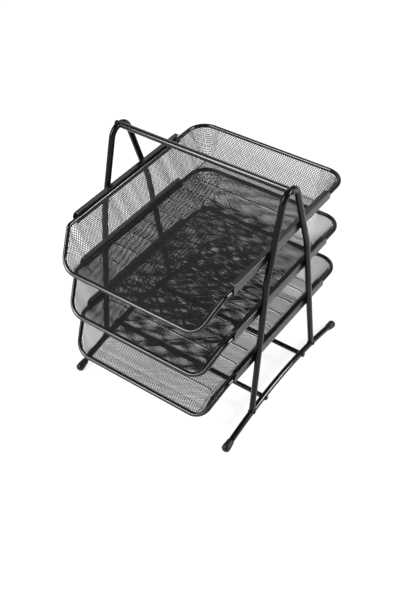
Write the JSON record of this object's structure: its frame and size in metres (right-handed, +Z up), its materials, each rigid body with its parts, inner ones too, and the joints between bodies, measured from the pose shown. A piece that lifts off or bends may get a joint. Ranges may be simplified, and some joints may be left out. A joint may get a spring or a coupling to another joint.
{
  "type": "mesh desk shelf",
  "caption": "Desk stand of two bent tube A frames with mesh letter trays, stacked in tiers, that slide out to the front on channel runners.",
  "frame": {"origin": "on the desk, under the middle of the stand", "axes": "+X to the right seen from the front, -Y to the front where the trays slide out, +Z up"},
  "size_m": [0.3074, 0.3684, 0.3947],
  "materials": {
    "coated_steel": "semi-gloss black powder coat",
    "mesh": "black powder coat on expanded steel mesh",
    "rubber": "matte black",
    "screws": "black zinc plate"
  },
  "bodies": {
    "stand": {"a_frame_left": "coated_steel", "a_frame_right": "coated_steel", "foot_rail_left": "coated_steel", "foot_rail_right": "coated_steel", "foot_cap_front_left": "rubber", "foot_cap_front_right": "rubber", "foot_cap_rear_left": "rubber", "foot_cap_rear_right": "rubber", "cross_bar_front": "coated_steel", "cross_bar_rear": "coated_steel", "handle_bar": "coated_steel", "runner_top_left": "coated_steel", "runner_top_right": "coated_steel", "runner_middle_left": "coated_steel", "runner_middle_right": "coated_steel", "runner_bottom_left": "coated_steel", "runner_bottom_right": "coated_steel", "screw_handle_left": "screws", "screw_handle_right": "screws", "screw_bar_front_left": "screws", "screw_bar_front_right": "screws", "screw_bar_rear_left": "screws", "screw_bar_rear_right": "screws"},
    "top_tray": {"top_tray_rim": "coated_steel", "top_tray_basket": "mesh"},
    "middle_tray": {"middle_tray_rim": "coated_steel", "middle_tray_basket": "mesh"},
    "bottom_tray": {"bottom_tray_rim": "coated_steel", "bottom_tray_basket": "mesh"}
  },
  "joints": [
    {"name": "top_tray_slide", "type": "slide", "parent": "stand", "child": "top_tray", "axis": [0, -1, 0], "range_m": [-0.008, 0.24]},
    {"name": "middle_tray_slide", "type": "slide", "parent": "stand", "child": "middle_tray", "axis": [0, -1, 0], "range_m": [-0.008, 0.24]},
    {"name": "bottom_tray_slide", "type": "slide", "parent": "stand", "child": "bottom_tray", "axis": [0, -1, 0], "range_m": [-0.008, 0.24]}
  ]
}
